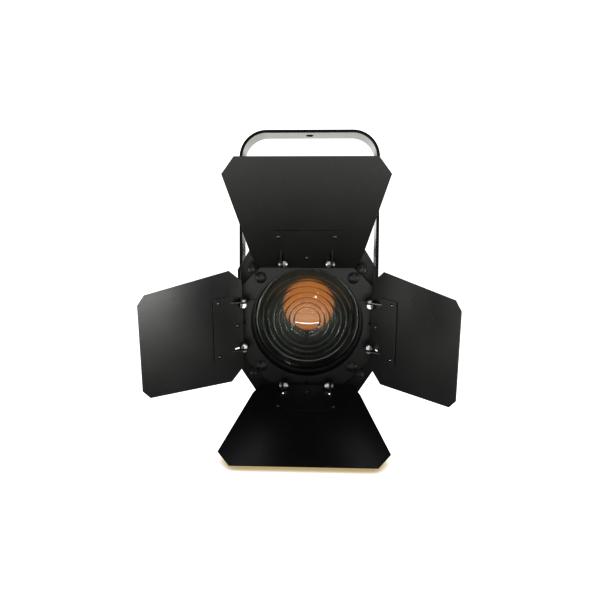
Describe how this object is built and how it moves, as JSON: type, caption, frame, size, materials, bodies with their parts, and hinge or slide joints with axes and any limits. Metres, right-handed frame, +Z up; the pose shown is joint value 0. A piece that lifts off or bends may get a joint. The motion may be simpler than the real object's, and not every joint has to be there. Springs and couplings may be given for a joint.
{
  "type": "fresnel spotlight",
  "caption": "Black fresnel spotlight: eight-sided casing, stepped glass lens, barn door with hinged leaves, and a flat-bar yoke with tilt knobs.",
  "frame": {"origin": "middle of the clamp bolt hole in the yoke's top bar, halfway through the bar", "axes": "the light leaves along -Y, +X is to the right of someone facing the lens, +Z is up with the head level; the yoke leans back 9 degrees"},
  "size_m": [0.359, 0.4231, 0.4019],
  "materials": {
    "painted_black": "matte powder coat",
    "painted_black_satin": "satin powder coat",
    "black_screw": "black oxide",
    "bright_steel": "bright zinc",
    "steel_rod": "ground",
    "clear_glass": "pressed and fire polished",
    "rubber_black": "matte",
    "baffle_black": "flat black",
    "anodised_black": "black anodised",
    "bare_aluminium": "milled",
    "bronze": "sintered",
    "phosphor": "silicone over phosphor",
    "holder_black": "moulded",
    "plastic_black": "fine moulded grain",
    "circuit_green": "solder mask",
    "display": "clear over dark",
    "grille_steel": "plated wire",
    "loop_steel": "zinc"
  },
  "bodies": {
    "yoke": {"yoke": "painted_black_satin", "pivot_pads": "rubber_black"},
    "tilt_knob_left": {"tilt_knob_left": "plastic_black"},
    "tilt_knob_right": {"tilt_knob_right": "plastic_black"},
    "leaf_top": {"leaf_top": "painted_black", "leaf_bracket_top": "painted_black", "leaf_rivets_top": "black_screw"},
    "leaf_bottom": {"leaf_bottom": "painted_black", "leaf_bracket_bottom": "painted_black", "leaf_rivets_bottom": "black_screw"},
    "leaf_left": {"leaf_left": "painted_black", "leaf_bracket_left": "painted_black", "leaf_rivets_left": "black_screw"},
    "leaf_right": {"leaf_right": "painted_black", "leaf_bracket_right": "painted_black", "leaf_rivets_right": "black_screw"},
    "carriage": {"carriage_plate": "anodised_black", "rod_bushes": "bronze", "heat_sink": "bare_aluminium", "led_board": "phosphor", "led_holder": "holder_black"},
    "focus_knob": {"focus_knob": "plastic_black"},
    "fan_rotor": {"fan_rotor": "plastic_black"},
    "menu_button_1": {"menu_button_1": "plastic_black"},
    "menu_button_2": {"menu_button_2": "plastic_black"},
    "menu_button_3": {"menu_button_3": "plastic_black"},
    "menu_button_4": {"menu_button_4": "plastic_black"},
    "head": {"baffle_tube": "baffle_black", "barn_door_plate": "painted_black_satin", "control_board": "circuit_green", "corner_screws": "black_screw", "corner_washers": "rubber_black", "display_window": "display", "dmx_input": "plastic_black", "dmx_output": "plastic_black", "dome_screws": "black_screw", "fan_frame": "plastic_black", "fan_grille": "grille_steel", "front_panel": "painted_black_satin", "front_standoffs": "anodised_black", "fuse_holder": "plastic_black", "guide_rods": "steel_rod", "hinge_base_bottom": "painted_black_satin", "hinge_base_left": "painted_black_satin", "hinge_base_right": "painted_black_satin", "hinge_base_top": "painted_black_satin", "hinge_bolts": "black_screw", "hinge_nuts": "bright_steel", "housing_shell": "painted_black_satin", "lens": "clear_glass", "lens_gasket": "rubber_black", "lens_holder": "anodised_black", "lens_ring": "anodised_black", "pivot_bosses": "anodised_black", "power_inlet": "plastic_black", "power_supply": "bare_aluminium", "rear_panel": "painted_black_satin", "rear_panel_screws": "black_screw", "rod_supports": "anodised_black", "safety_loop": "loop_steel"}
  },
  "joints": [
    {"name": "head_tilt", "type": "hinge", "parent": "yoke", "child": "head", "pos_m": [0, -0.04196, -0.26495], "axis": [1, 0, 0], "range_deg": [-19, 171]},
    {"name": "leaf_top_hinge", "type": "hinge", "parent": "head", "child": "leaf_top", "pos_m": [0, -0.17956, -0.18075], "axis": [-1, 0, 0], "range_deg": [-79.5, 50.5]},
    {"name": "leaf_bottom_hinge", "type": "hinge", "parent": "head", "child": "leaf_bottom", "pos_m": [0, -0.17956, -0.34915], "axis": [1, 0, 0], "range_deg": [-26.6, 103.4]},
    {"name": "leaf_left_hinge", "type": "hinge", "parent": "head", "child": "leaf_left", "pos_m": [-0.0842, -0.17956, -0.26495], "axis": [0, 0, -1], "range_deg": [-50.5, 79.5]},
    {"name": "leaf_right_hinge", "type": "hinge", "parent": "head", "child": "leaf_right", "pos_m": [0.0842, -0.17956, -0.26495], "axis": [0, 0, 1], "range_deg": [-41.6, 88.4]},
    {"name": "focus_slide", "type": "slide", "parent": "head", "child": "carriage", "axis": [0, 1, 0], "range_m": [-0.015, 0.04]},
    {"name": "focus_knob_turn", "type": "hinge", "parent": "carriage", "child": "focus_knob", "pos_m": [0, -0.06996, -0.38295], "axis": [0, 0, -1], "range_deg": [0, 360]},
    {"name": "tilt_knob_left_turn", "type": "hinge", "parent": "head", "child": "tilt_knob_left", "pos_m": [-0.115, -0.04196, -0.26495], "axis": [-1, 0, 0], "range_deg": [0, 360]},
    {"name": "tilt_knob_right_turn", "type": "hinge", "parent": "head", "child": "tilt_knob_right", "pos_m": [0.115, -0.04196, -0.26495], "axis": [1, 0, 0], "range_deg": [0, 360]},
    {"name": "fan_spin", "type": "hinge", "parent": "head", "child": "fan_rotor", "pos_m": [0, 0.08604, -0.26495], "axis": [0, 1, 0], "continuous": true},
    {"name": "menu_button_1_press", "type": "slide", "parent": "head", "child": "menu_button_1", "axis": [0, -1, 0], "range_m": [0, 0.0012], "stiffness_N_per_m": 500, "springref_m": -0.002},
    {"name": "menu_button_2_press", "type": "slide", "parent": "head", "child": "menu_button_2", "axis": [0, -1, 0], "range_m": [0, 0.0012], "stiffness_N_per_m": 500, "springref_m": -0.002},
    {"name": "menu_button_3_press", "type": "slide", "parent": "head", "child": "menu_button_3", "axis": [0, -1, 0], "range_m": [0, 0.0012], "stiffness_N_per_m": 500, "springref_m": -0.002},
    {"name": "menu_button_4_press", "type": "slide", "parent": "head", "child": "menu_button_4", "axis": [0, -1, 0], "range_m": [0, 0.0012], "stiffness_N_per_m": 500, "springref_m": -0.002}
  ]
}
